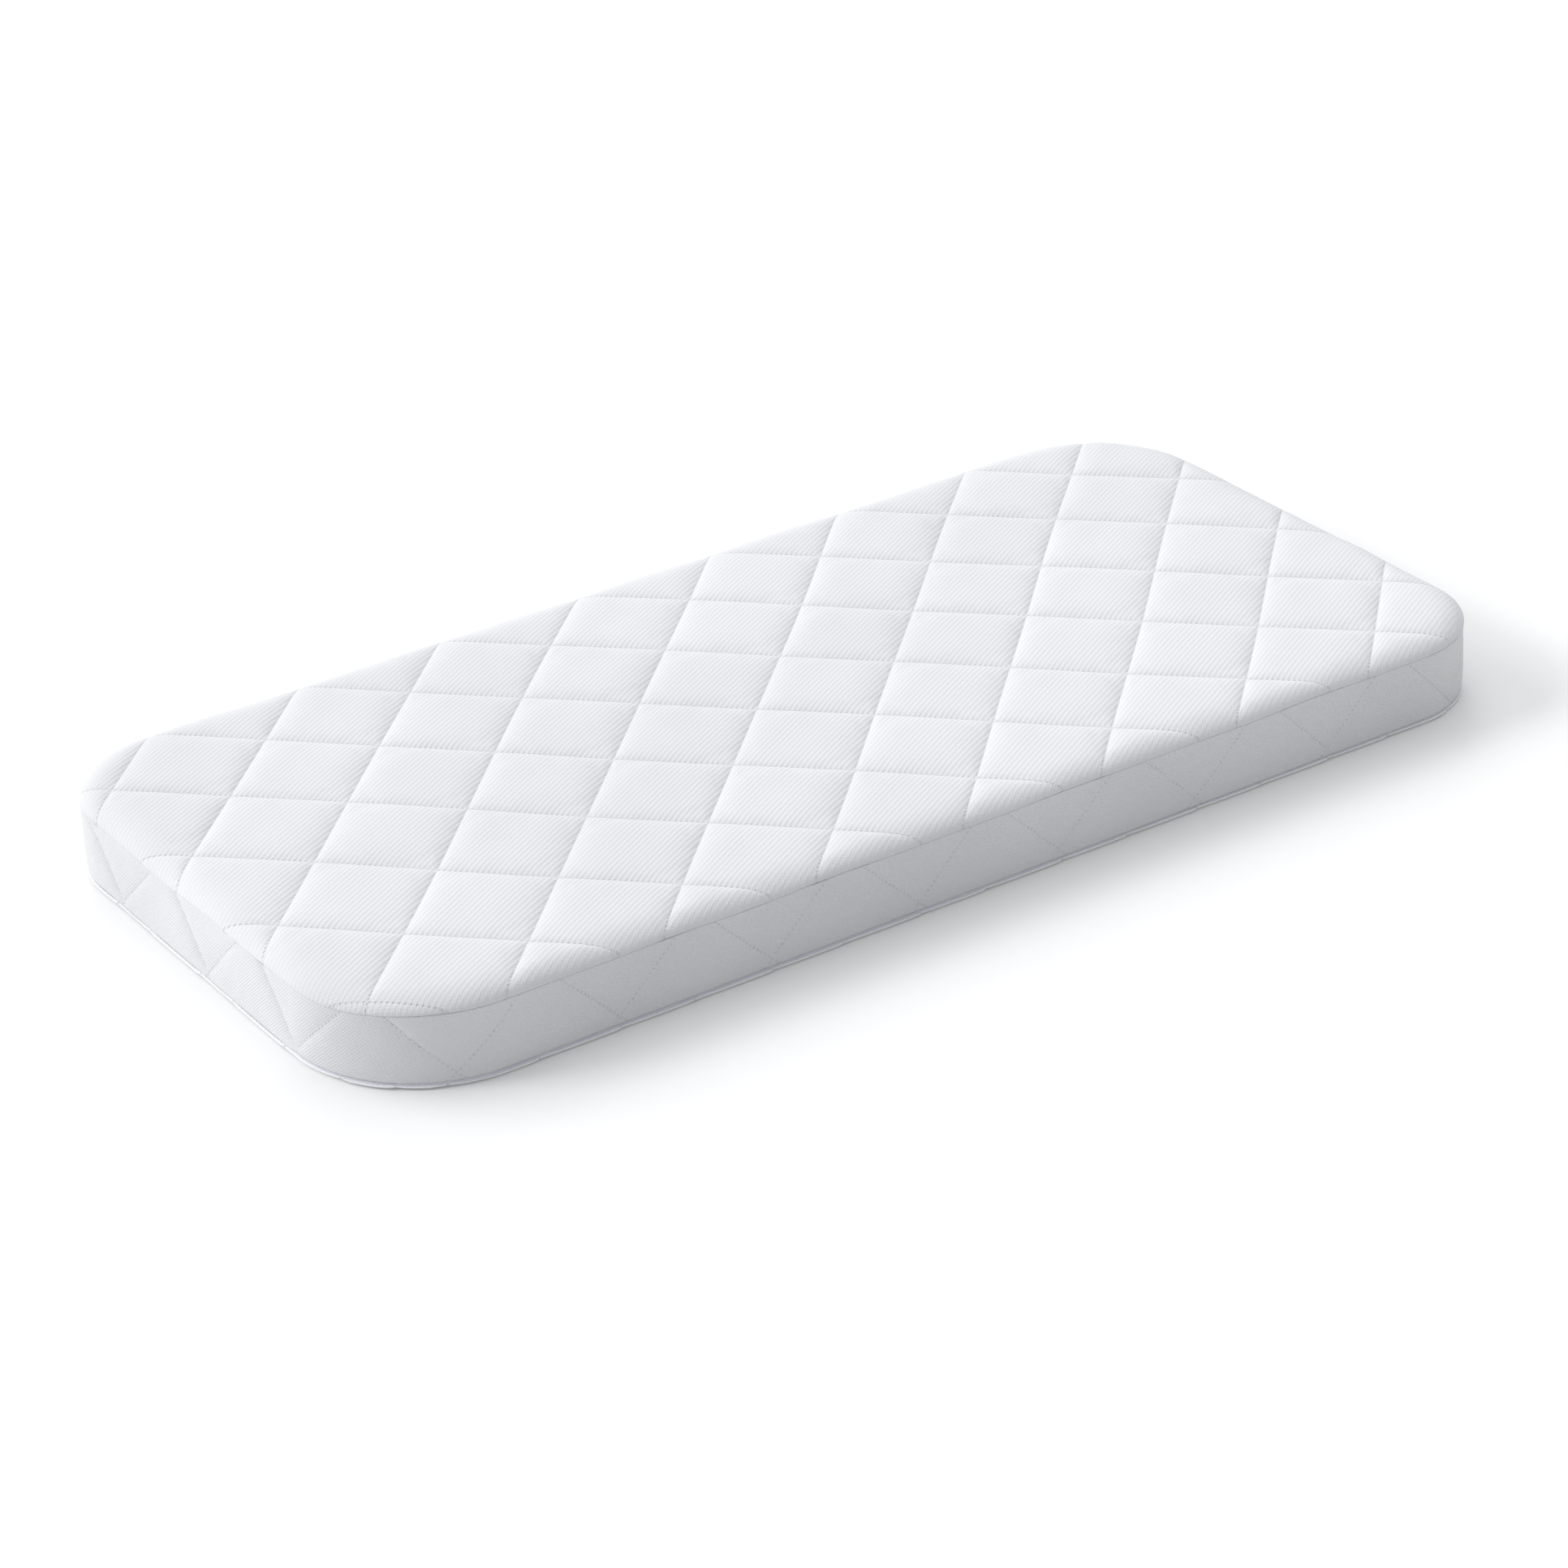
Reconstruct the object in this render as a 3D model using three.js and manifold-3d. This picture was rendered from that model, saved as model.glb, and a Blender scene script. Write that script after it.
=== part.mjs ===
// Small memory foam mattress with a quilted, zipped cover.
// Millimetres, +Z up, origin at the centre of the underside, +X along the length.
//
// Cover: top panel, border and bottom panel, each a knit face with wadding and a backing.
// Inside: a sleeve holding a memory foam layer on a base foam layer.
// Opening: a coil zip low on the front wall, round both front corners and up the right end wall,
// with a slider and a hinged pull tab.
import * as THREE from 'three';
import { mergeVertices } from 'three/addons/utils/BufferGeometryUtils.js';
import Module from 'manifold-3d';

const wasm = await Module();
wasm.setup();

// ---- driving dimensions ----------------------------------------------------------------------
const LENGTH = 800;
const WIDTH = 390;
// Corner radii as seen from above: front left, front right, back right, back left. The front
// left and back right corners are sewn rounder than the other two.
const CORNER_RADII = [85, 66, 80, 70];
const CORNER_STEPS = 6;

const GAP = 0.3;             // clearance between neighbouring pieces
const FACE_T = 1.0;          // knit face fabric
const BACKING_T = 0.5;       // non-woven backing behind the quilting

const SEAM_Z = 46.4;         // rim of the top panel
const VALLEY_Z = 53;         // bottom of the quilting grooves
const PUFF_H = 5.5;          // rise of each diamond above its grooves
const QUILT_DIAGONAL = 100;  // diamond, corner to corner, along the length and along the width
const QUILT_X = -27.5;       // one groove crossing
const QUILT_Y = -8.9;
const PUFF_SHOULDER = 0.22;  // share of a diamond's side taken by the slope next to each groove

const BOTTOM_T = 1.0;        // bottom face fabric
const BORDER_TOP = 45.2;
const BORDER_LOW_SEWN = 2.3; // border's lower edge where it is sewn to the bottom panel
const BORDER_LOW_ZIP = 7.6;  // border's lower edge above the zip
const FILL_LOW_SEWN = 3.5;   // lower edge of the border's wadding and backing
const FILL_LOW_ZIP = 13.3;

const TAPE_INSET = 9.5;      // bottom wadding stops here, clear of the lower zip tape
const SLEEVE_INSET = 6.6;
const SLEEVE_T = 0.5;
const SLEEVE_Z = 4.8;
const SLEEVE_TOP = 47.3;
const FOAM_INSET = 7.5;
const BASE_Z = 5.6;
const BASE_TOP = 26.6;
const MEMORY_TOP = 46.5;

const COIL_INSET = 4.2;      // centre of the zip coils, measured in from the outline
const COIL_DEPTH = 1.4;
const COIL_H = 1.2;
const COIL_SPLIT_Z = 4.6;    // level at which the two coils meet
const COIL_SPLIT = 1.0;      // slit between the two coils
const ZIP_END_Y = 99;        // zip ends here on the right end wall
const JOIN = 4;              // length over which the border's lower edge steps down

const SLIDER_Y = 88;
const SLIDER_L = 9;
const SLIDER_LOW = 2.2;
const SLIDER_HIGH = 7.0;
const PLATE_T = 0.7;
const OUTER_PLATE = 2.5;     // outer faces of the slider's two plates, measured in
const INNER_PLATE = 5.2;
const DIVIDER_T = 0.4;
const LUG_T = 0.5;           // the two lugs that hold the pull tab's pin
const LUG_INSET = 0.3;
const PIN_INSET = 1.15;
const PIN_R = 0.35;
const EYE_R = 1.0;
const EYE_HOLE_R = 0.62;
const TAB_L = 17;
const TAB_T = 1.1;
const TAB_W = 4.2;

// ---- materials -------------------------------------------------------------------------------
const material = (color, roughness, metalness = 0) =>
  new THREE.MeshStandardMaterial({ color, roughness, metalness });
const KNIT = () => material(0xf1f1f2, 0.9);
const WADDING = () => material(0xfafaf7, 1.0);
const BACKING = () => material(0xe8e8e6, 0.95);
const THREAD = () => material(0xeeeeee, 0.8);
const TAPE = () => material(0xe9e6f2, 0.85);
const COIL = () => material(0xf0eef6, 0.45);
const SLIDER = () => material(0xdcdce2, 0.35, 0.7);
const SLEEVE = () => material(0xf4f4f4, 0.9);
const MEMORY = () => material(0xf6efcf, 0.95);
const BASE = () => material(0xe4e6ea, 0.95);
const LABEL = () => material(0xfbfbfb, 0.8);

// ---- the outline -----------------------------------------------------------------------------
// A station is a point the outline is measured from, with the outward direction there. Going
// round the mattress anticlockwise, the zipped part comes first and the sewn part second.
const [FRONT_LEFT, FRONT_RIGHT, BACK_RIGHT, BACK_LEFT] = CORNER_RADII;
const ZIP_START_Y = -WIDTH / 2 + FRONT_LEFT;

function station(x, y, radius, degrees, zipped) {
  const angle = THREE.MathUtils.degToRad(degrees);
  return { x, y, radius, nx: Math.cos(angle), ny: Math.sin(angle), zipped };
}

function corner(sideX, sideY, radius, fromDegrees, zipped) {
  const stations = [];
  const x = sideX * (LENGTH / 2 - radius);
  const y = sideY * (WIDTH / 2 - radius);
  for (let i = 0; i <= CORNER_STEPS; i += 1) {
    stations.push(station(x, y, radius, fromDegrees + (90 * i) / CORNER_STEPS, zipped));
  }
  return stations;
}

const ZIPPED = [
  ...corner(-1, -1, FRONT_LEFT, 180, true),
  ...corner(1, -1, FRONT_RIGHT, 270, true),
  station(LENGTH / 2 - FRONT_RIGHT, ZIP_END_Y, FRONT_RIGHT, 0, true),
];
const SEWN = [
  station(LENGTH / 2 - FRONT_RIGHT, ZIP_END_Y + JOIN, FRONT_RIGHT, 0, false),
  ...corner(1, 1, BACK_RIGHT, 0, false),
  ...corner(-1, 1, BACK_LEFT, 90, false),
  station(-LENGTH / 2 + FRONT_LEFT, ZIP_START_Y + JOIN, FRONT_LEFT, 180, false),
];
const ALL_ROUND = [...ZIPPED, ...SEWN];

function at(place, inset, z) {
  const out = place.radius - inset;
  return [place.x + place.nx * out, place.y + place.ny * out, z];
}

// ---- building closed bodies ------------------------------------------------------------------
// Sweeps a profile of [inset, z] corners along the stations. The profile may depend on the place.
function sweep(profile, stations, closed) {
  const profileAt = typeof profile === 'function' ? profile : () => profile;
  const points = [];
  const faces = [];
  const count = profileAt(stations[0]).length;
  for (const place of stations) {
    for (const [inset, z] of profileAt(place)) {
      points.push(at(place, inset, z));
    }
  }
  const spans = closed ? stations.length : stations.length - 1;
  for (let i = 0; i < spans; i += 1) {
    const a = i * count;
    const b = ((i + 1) % stations.length) * count;
    for (let j = 0; j < count; j += 1) {
      const k = (j + 1) % count;
      faces.push([a + j, b + j, b + k], [a + j, b + k, a + k]);
    }
  }
  if (!closed) {
    const flat = profileAt(stations[0]).map(([inset, z]) => new THREE.Vector2(inset, z));
    const last = (stations.length - 1) * count;
    for (const [p, q, r] of THREE.ShapeUtils.triangulateShape(flat, [])) {
      faces.push([p, r, q], [last + p, last + q, last + r]);
    }
  }
  return solid(points, faces);
}

// Stacks copies of the outline, each with its own inset and height, and caps both ends.
function stack(levels) {
  const points = [];
  const faces = [];
  const count = ALL_ROUND.length;
  for (const [inset, z] of levels) {
    for (const place of ALL_ROUND) {
      points.push(at(place, inset, z));
    }
  }
  for (let i = 0; i + 1 < levels.length; i += 1) {
    for (let j = 0; j < count; j += 1) {
      const k = (j + 1) % count;
      const a = i * count;
      const b = a + count;
      faces.push([a + j, a + k, b + k], [a + j, b + k, b + j]);
    }
  }
  const top = (levels.length - 1) * count;
  for (let j = 1; j + 1 < count; j += 1) {
    faces.push([0, j + 1, j], [top, top + j, top + j + 1]);
  }
  return solid(points, faces);
}

function manifold(positions, corners) {
  return new wasm.Manifold(new wasm.Mesh({
    numProp: 3,
    vertProperties: new Float32Array(positions),
    triVerts: new Uint32Array(corners),
  }));
}

// A body from its points and triangles, which may all face in or all face out.
function solid(points, faces) {
  const made = manifold(points.flat(), faces.flat());
  if (made.volume() > 0) {
    return made;
  }
  const turned = faces.map(([a, b, c]) => [a, c, b]);
  return manifold(points.flat(), turned.flat());
}

function fromGeometry(geometry) {
  geometry.deleteAttribute('normal');
  geometry.deleteAttribute('uv');
  const merged = mergeVertices(geometry, 1e-4);
  return manifold(merged.attributes.position.array, merged.index.array);
}

function box(x0, x1, y0, y1, z0, z1) {
  const block = new THREE.BoxGeometry(x1 - x0, y1 - y0, z1 - z0);
  block.translate((x0 + x1) / 2, (y0 + y1) / 2, (z0 + z1) / 2);
  return fromGeometry(block);
}

function upright(radius, height, x) {
  const cylinder = new THREE.CylinderGeometry(radius, radius, height, 16);
  return fromGeometry(cylinder.rotateX(Math.PI / 2).translate(x, 0, 0));
}

function mesh(name, body, skin) {
  const made = body.getMesh();
  const geometry = new THREE.BufferGeometry();
  const positions = new Float32Array((made.vertProperties.length / made.numProp) * 3);
  for (let i = 0; i * made.numProp < made.vertProperties.length; i += 1) {
    for (let j = 0; j < 3; j += 1) {
      positions[i * 3 + j] = made.vertProperties[i * made.numProp + j];
    }
  }
  geometry.setAttribute('position', new THREE.BufferAttribute(positions, 3));
  geometry.setIndex(new THREE.BufferAttribute(new Uint32Array(made.triVerts), 1));
  const flat = geometry.toNonIndexed();
  flat.computeVertexNormals();
  const result = new THREE.Mesh(flat, skin);
  result.name = name;
  return result;
}

// ---- quilting --------------------------------------------------------------------------------
// A slab whose top is a field of diamonds, grooved between them. Its sides lie outside the panel.
function quiltedSlab(drop) {
  const side = QUILT_DIAGONAL / Math.SQRT2;
  const reach = Math.ceil((LENGTH + WIDTH) / 2 / QUILT_DIAGONAL) + 1;
  const ticks = [];
  for (let i = -reach; i < reach; i += 1) {
    ticks.push([i, 0], [i + PUFF_SHOULDER, 1], [i + 1 - PUFF_SHOULDER, 1]);
  }
  ticks.push([reach, 0]);
  const n = ticks.length;
  const points = [];
  for (const floor of [false, true]) {
    for (const [u, riseU] of ticks) {
      for (const [v, riseV] of ticks) {
        const x = QUILT_X + ((u - v) * side) / Math.SQRT2;
        const y = QUILT_Y + ((u + v) * side) / Math.SQRT2;
        const z = VALLEY_Z - drop + PUFF_H * riseU * riseV;
        points.push([x, y, floor ? 0 : z]);
      }
    }
  }
  const lower = n * n;
  const faces = [];
  for (let i = 0; i + 1 < n; i += 1) {
    for (let j = 0; j + 1 < n; j += 1) {
      const a = i * n + j;
      const b = a + n;
      faces.push([a, b, b + 1], [a, b + 1, a + 1]);
      faces.push([lower + a, lower + b + 1, lower + b], [lower + a, lower + a + 1, lower + b + 1]);
    }
  }
  const rim = [];
  for (let i = 0; i < n - 1; i += 1) {
    rim.push(i * n);
  }
  for (let j = 0; j < n - 1; j += 1) {
    rim.push((n - 1) * n + j);
  }
  for (let i = n - 1; i > 0; i -= 1) {
    rim.push(i * n + n - 1);
  }
  for (let j = n - 1; j > 0; j -= 1) {
    rim.push(j);
  }
  for (let i = 0; i < rim.length; i += 1) {
    const p = rim[i];
    const q = rim[(i + 1) % rim.length];
    faces.push([p, lower + p, lower + q], [p, lower + q, q]);
  }
  return solid(points, faces);
}

// The rounded shoulder that the top panel rolls down over, to its rim at the seam.
const SHOULDER = [
  [0, 0],
  [0.9, 2.6],
  [3.6, 5.4],
  [9, 8.4],
  [17, 10.9],
  [28, 13],
];

// The top panel's shape, shrunk by `drop` and ending below in straight sides down to `from`.
function topShape(drop, from) {
  const levels = [[drop, 20]];
  for (const [inset, rise] of SHOULDER) {
    levels.push([inset + drop, SEAM_Z + rise - drop * 0.9]);
  }
  return quiltedSlab(drop).intersect(stack(levels)).intersect(
    box(-LENGTH, LENGTH, -WIDTH, WIDTH, from, 100),
  );
}

// ---- pieces ----------------------------------------------------------------------------------
const root = new THREE.Group();
root.name = 'memory_foam_mattress';

function add(name, body, skin, group = root) {
  group.add(mesh(name, body, skin));
}

// Top panel, from the knit face inwards.
add('top_panel_face_fabric', topShape(0, SEAM_Z).subtract(topShape(FACE_T, 21)), KNIT());
const topFill = SLEEVE_TOP + GAP + BACKING_T + GAP;
add('top_panel_wadding', topShape(FACE_T + GAP, topFill), WADDING());
add('top_panel_backing', stack([
  [3.2, SLEEVE_TOP + GAP],
  [3.2, topFill - GAP],
]), BACKING());

// Border. Its lower edge sits higher where the zip runs under it.
const step = (sewn, zip) => (place) => (place.zipped ? zip : sewn);
const borderLow = step(BORDER_LOW_SEWN, BORDER_LOW_ZIP);
const fillLow = step(FILL_LOW_SEWN, FILL_LOW_ZIP);
add('border_face_fabric', sweep((place) => [
  [0.8, borderLow(place)],
  [0, borderLow(place) + 6],
  [0, BORDER_TOP - 6],
  [0.8, BORDER_TOP],
  [0.8 + FACE_T, BORDER_TOP],
  [FACE_T, BORDER_TOP - 6],
  [FACE_T, borderLow(place) + 6],
  [0.8 + FACE_T, borderLow(place)],
], ALL_ROUND, true), KNIT());
add('border_wadding', sweep((place) => [
  [2.1, fillLow(place)],
  [1.3, fillLow(place) + 6],
  [1.3, BORDER_TOP - 6],
  [2.1, BORDER_TOP],
  [4.8, BORDER_TOP],
  [4.8, fillLow(place)],
], ALL_ROUND, true), WADDING());
add('border_backing', sweep((place) => [
  [5.1, fillLow(place)],
  [5.1, BORDER_TOP],
  [5.6, BORDER_TOP],
  [5.6, fillLow(place)],
], ALL_ROUND, true), BACKING());

// Bottom panel.
add('bottom_panel_face_fabric', stack([
  [0.8, 0],
  [0, 0.5],
  [0, BOTTOM_T],
]), KNIT());
add('bottom_panel_wadding', stack([
  [TAPE_INSET, BOTTOM_T + GAP],
  [TAPE_INSET, 3.6],
]), WADDING());
add('bottom_panel_backing', stack([
  [TAPE_INSET, 3.9],
  [TAPE_INSET, 4.4],
]), BACKING());

// Seam allowances, each bound in thread, inside the cover.
add('top_seam_allowance', sweep([
  [0.6, BORDER_TOP + GAP],
  [0.6, SEAM_Z - GAP],
  [5.9, SEAM_Z - GAP],
  [5.9, BORDER_TOP + GAP],
], ALL_ROUND, true), THREAD());
add('bottom_seam_allowance', sweep([
  [0.6, BOTTOM_T + GAP],
  [0.6, BORDER_LOW_SEWN - GAP],
  [TAPE_INSET - GAP, BORDER_LOW_SEWN - GAP],
  [TAPE_INSET - GAP, BOTTOM_T + GAP],
], SEWN, false), THREAD());

// Zip: two tapes and the coil on each.
const upperCoilLow = COIL_SPLIT_Z + COIL_SPLIT / 2;
const lowerCoilHigh = COIL_SPLIT_Z - COIL_SPLIT / 2;
const upperTapeLow = upperCoilLow + COIL_H + GAP;
const lowerTapeHigh = lowerCoilHigh - COIL_H - GAP;
const TAPE_T = 0.6;
function coil(low) {
  const near = COIL_INSET - COIL_DEPTH / 2;
  const far = COIL_INSET + COIL_DEPTH / 2;
  return sweep([
    [near, low + COIL_H / 2],
    [near + 0.35, low + COIL_H],
    [far - 0.35, low + COIL_H],
    [far, low + COIL_H / 2],
    [far - 0.35, low],
    [near + 0.35, low],
  ], ZIPPED, false);
}
add('zip_upper_coil', coil(upperCoilLow), COIL());
add('zip_lower_coil', coil(lowerCoilHigh - COIL_H), COIL());
add('zip_upper_tape', sweep([
  [COIL_INSET - TAPE_T / 2, upperTapeLow],
  [2.3, FILL_LOW_ZIP - GAP - 0.4],
  [2.3 + TAPE_T, FILL_LOW_ZIP - GAP - 0.4],
  [COIL_INSET + TAPE_T / 2, upperTapeLow],
], ZIPPED, false), TAPE());
add('zip_lower_tape', sweep([
  [COIL_INSET - TAPE_T / 2, BOTTOM_T + GAP],
  [COIL_INSET - TAPE_T / 2, lowerTapeHigh],
  [COIL_INSET + TAPE_T / 2, lowerTapeHigh],
  [COIL_INSET + TAPE_T / 2, BOTTOM_T + GAP + TAPE_T],
  [TAPE_INSET - GAP, BOTTOM_T + GAP + TAPE_T],
  [TAPE_INSET - GAP, BOTTOM_T + GAP],
], ZIPPED, false), TAPE());

// Bar tacks across both ends of the chain.
const tackX = LENGTH / 2 - COIL_INSET;
function barTack(x, y) {
  return box(x - 0.9, x + 0.9, y + 0.4, y + 2, 2.7, 6.5);
}
add('zip_start_bar_tack', barTack(-tackX, ZIP_START_Y), THREAD());
add('zip_end_bar_tack', barTack(tackX, ZIP_END_Y), THREAD());

// Slider: two plates joined by a thin divider that runs in the slit, and a pinned pull tab.
// Its group stands on the end wall's outline, at the slider's middle, and the tab's on the pin.
const sliderMidZ = (SLIDER_LOW + SLIDER_HIGH) / 2;
const sliderHalf = (SLIDER_HIGH - SLIDER_LOW) / 2;
const slider = new THREE.Group();
slider.position.set(LENGTH / 2, SLIDER_Y, sliderMidZ);
root.add(slider);
const pullTab = new THREE.Group();
pullTab.position.set(-PIN_INSET, 0, 0);
slider.add(pullTab);

function plate(inset) {
  const half = sliderHalf;
  const shape = new THREE.Shape();
  shape.moveTo(-SLIDER_L / 2, -half * 0.7);
  shape.lineTo(-SLIDER_L / 2 + 1.2, -half * 0.8);
  shape.lineTo(SLIDER_L / 2 - 2.4, -half);
  shape.lineTo(SLIDER_L / 2 - 0.8, -half);
  shape.lineTo(SLIDER_L / 2, -half * 0.6);
  shape.lineTo(SLIDER_L / 2, half * 0.6);
  shape.lineTo(SLIDER_L / 2 - 0.8, half);
  shape.lineTo(SLIDER_L / 2 - 2.4, half);
  shape.lineTo(-SLIDER_L / 2 + 1.2, half * 0.8);
  shape.lineTo(-SLIDER_L / 2, half * 0.7);
  const flat = new THREE.ExtrudeGeometry(shape, { depth: PLATE_T, bevelEnabled: false });
  flat.rotateX(Math.PI / 2);
  flat.rotateZ(Math.PI / 2);
  flat.translate(-inset - PLATE_T, 0, 0);
  return fromGeometry(flat);
}

function lug(low) {
  return box(-OUTER_PLATE - 0.2, 0.5 - PIN_INSET, -0.9, 0.9, low, low + LUG_T);
}

const splitZ = COIL_SPLIT_Z - sliderMidZ;
const divider = box(
  -INNER_PLATE - 0.2,
  0.2 - OUTER_PLATE - PLATE_T,
  0.6,
  3.2,
  splitZ - DIVIDER_T / 2,
  splitZ + DIVIDER_T / 2,
);
const pin = upright(PIN_R, 2 * (sliderHalf - LUG_INSET), -PIN_INSET);
add('zip_slider_body', plate(OUTER_PLATE)
  .add(plate(INNER_PLATE))
  .add(divider)
  .add(lug(LUG_INSET - sliderHalf))
  .add(lug(sliderHalf - LUG_INSET - LUG_T))
  .add(pin), SLIDER(), slider);

const eyeHalf = sliderHalf - LUG_INSET - LUG_T - GAP;
const eyeHole = upright(EYE_HOLE_R, SLIDER_L, 0);
const neck = box(-TAB_T / 2, TAB_T / 2, -4, 0, -eyeHalf, eyeHalf);
const paddle = box(-TAB_T / 2, TAB_T / 2, -TAB_L, -3, -TAB_W / 2, TAB_W / 2);
add('zip_pull_tab', upright(EYE_R, 2 * eyeHalf, 0)
  .add(neck)
  .add(paddle)
  .subtract(eyeHole), SLIDER(), pullTab);

// Inside: the sleeve is left open along one end so the foam can be slid in.
const sleeve = stack([
  [SLEEVE_INSET, SLEEVE_Z],
  [SLEEVE_INSET, SLEEVE_TOP],
]).subtract(stack([
  [SLEEVE_INSET + SLEEVE_T, SLEEVE_Z + SLEEVE_T],
  [SLEEVE_INSET + SLEEVE_T, SLEEVE_TOP - SLEEVE_T],
])).subtract(box(LENGTH / 2 - 20, LENGTH, -90, 90, 20, 24));
add('inner_sleeve', sleeve, SLEEVE());
add('support_foam_base', stack([
  [FOAM_INSET, BASE_Z],
  [FOAM_INSET, BASE_TOP],
]), BASE());
add('memory_foam_layer', stack([
  [FOAM_INSET, BASE_TOP + GAP],
  [FOAM_INSET, MEMORY_TOP],
]), MEMORY());
add('care_label', box(-200, -160, WIDTH / 2 - 6.25, WIDTH / 2 - 5.95, 15, 44.5), LABEL());

export default root;
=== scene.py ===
import math

import bpy
import numpy as np
from mathutils import Matrix


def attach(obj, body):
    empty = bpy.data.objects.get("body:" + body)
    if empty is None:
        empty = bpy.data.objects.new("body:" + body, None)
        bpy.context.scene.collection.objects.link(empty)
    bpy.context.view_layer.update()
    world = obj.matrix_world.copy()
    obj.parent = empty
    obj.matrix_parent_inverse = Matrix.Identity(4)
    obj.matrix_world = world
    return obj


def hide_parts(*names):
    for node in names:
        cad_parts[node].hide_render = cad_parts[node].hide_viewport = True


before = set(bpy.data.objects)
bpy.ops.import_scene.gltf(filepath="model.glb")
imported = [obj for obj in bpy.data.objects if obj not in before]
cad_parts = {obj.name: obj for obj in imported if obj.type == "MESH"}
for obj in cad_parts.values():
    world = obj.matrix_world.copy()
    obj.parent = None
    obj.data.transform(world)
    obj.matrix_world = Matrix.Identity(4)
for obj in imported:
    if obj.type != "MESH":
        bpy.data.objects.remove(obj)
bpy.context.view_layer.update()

MM = 0.001

# ---- sizes, in millimetres, and tilts, in degrees ----------------------------------------------
HALF_L, HALF_W = 400.0, 195.0
RADII = (66.0, 80.0, 70.0, 85.0)  # front right, back right, back left, front left
FR, BR, BL, FL = RADII
SEAM_Z = 46.2               # edge of the top panel
VALLEY_Z = 52.3             # stitched lines of the top panel
ROLL_WIDTH = 15.0           # width over which the top panel rolls down to its seam
DIAGONAL = 100.0            # a quilted diamond, corner to corner
SIDE = DIAGONAL / math.sqrt(2)
STEEP_OFFSET, LEVEL_OFFSET = 18.6, 36.4  # where the top's two families of stitched lines lie
UNDER_STEEP, UNDER_LEVEL = 1.0, 38.0     # the same on the underside
STITCH = 3.3                # from one stitch to the next
DRIFT = 0.7                 # how far stitched lines stray from straight
RIB_TILT, RIB_PITCH = 119.7, 3.02        # the knit's slanting ribs
CROSS_TILT, CROSS_PITCH = 19.3, 2.74     # and the fainter ones across them

CLOTH_LIFT = 4.9            # rise of the blown-up cloth that counts as full
PUFF_RISE, DOME_RISE = 1.65, 0.8         # flat part of a puff's rise, and the dome on it
DOME_GAIN = 1.2             # how strongly the dome is pressed flat
TOP_STEEP_SLOPES = (5.0, 5.6)            # widths after and before the top's steep lines
TOP_LEVEL_SLOPES = (4.0, 3.4)            # and its level ones

BORDER_TOP, BORDER_LOW = 46.05, 2.3      # levels of the border's edges, where both are sewn
BORDER_OVER_SLIDER, BORDER_OVER_ZIP = 7.6, 3.9  # and of the edge that hangs over the zip
BORDER_OVER_ZIP_FAR = 0.7   # how much lower the border's edge lies at the near side's far end
BORDER_V_S, BORDER_V_Z = 71.0, 8.85      # foot of the first V of the border's zigzag
BORDER_OUT = 0.5            # inset of the border's face at its fullest
BORDER_HEM = 5.4            # height of the border's lowest rows where it is sewn down
BORDER_DIP = 0.7            # relief of the border's quilting
LEFT_STEEP_DIP, LEFT_LEVEL_DIP = 3.3, 0.8  # and of its two families of lines on the left end wall
LEFT_STEEP_SLOPES, LEFT_LEVEL_SLOPES = (1.5, 3.9), (2.6, 5.0)  # with the widths of their slopes
FILL_GAP, FILL_DEEPEST, FILL_BACK = 0.9, 4.7, 4.85  # insets of the border's wadding
UNDER_GAP = 0.03            # between the underside and the floor
UNDER_LIFT, UNDER_EDGE = 1.7, 1.3        # rise of its stitched lines, and of its edge

# Distance round the outline starts where the front wall leaves the front left corner.
ARCS = [r * math.pi / 2 for r in RADII]
RUNS = [2 * HALF_L - FL - FR, ARCS[0], 2 * HALF_W - FR - BR, ARCS[1],
        2 * HALF_L - BR - BL, ARCS[2], 2 * HALF_W - BL - FL, ARCS[3]]
STARTS = np.concatenate([[0], np.cumsum(RUNS)])
PERIMETER = STARTS[-1]
ZIP_END_Y = 99.0            # on the right end wall
ZIP_FROM, ZIP_TO = -ARCS[3], STARTS[2] + (HALF_W - FR) + ZIP_END_Y
BORDER_JOIN = STARTS[4] + 130.0  # where the border's two ends are sewn together, on the back wall


def smooth(x, a, b):
    """0 up to a, 1 from b on, and an even curve between them."""
    t = np.clip((np.asarray(x, float) - a) / (b - a), 0, 1)
    return t * t * (3 - 2 * t)


# ---- outline -----------------------------------------------------------------------------------
def outline(s, inset=0.0):
    """Points and outward directions on the outline at distance s round it, moved in by inset."""
    s = np.mod(np.asarray(s, float), PERIMETER)
    inset = np.broadcast_to(np.asarray(inset, float), s.shape)
    k = np.clip(np.searchsorted(STARTS, s, side="right") - 1, 0, 7)
    along = s - STARTS[k]
    radius = np.array(RADII)[k // 2]
    on_arc = k % 2 == 1
    turned = np.where(on_arc, along / radius, 0) + (k // 2 - 1) * (math.pi / 2)
    n = np.stack([np.cos(turned), np.sin(turned)], -1)
    forward = np.stack([-n[..., 1], n[..., 0]], -1)
    centre = np.array([(HALF_L - FR, FR - HALF_W), (HALF_L - BR, HALF_W - BR),
                       (BL - HALF_L, HALF_W - BL), (FL - HALF_L, FL - HALF_W)])[k // 2]
    left = np.where(on_arc, 0, STARTS[np.minimum(k + 1, 8)] - s)
    c = centre - forward * left[..., None]
    return c + n * (radius - inset)[..., None], n


def corner_of(x, y):
    """Centre offsets and radius of the corner whose quarter of the outline holds (x, y)."""
    radius = np.where(y < 0, np.where(x > 0, FR, FL), np.where(x > 0, BR, BL))
    return np.abs(x) - (HALF_L - radius), np.abs(y) - (HALF_W - radius), radius


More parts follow.
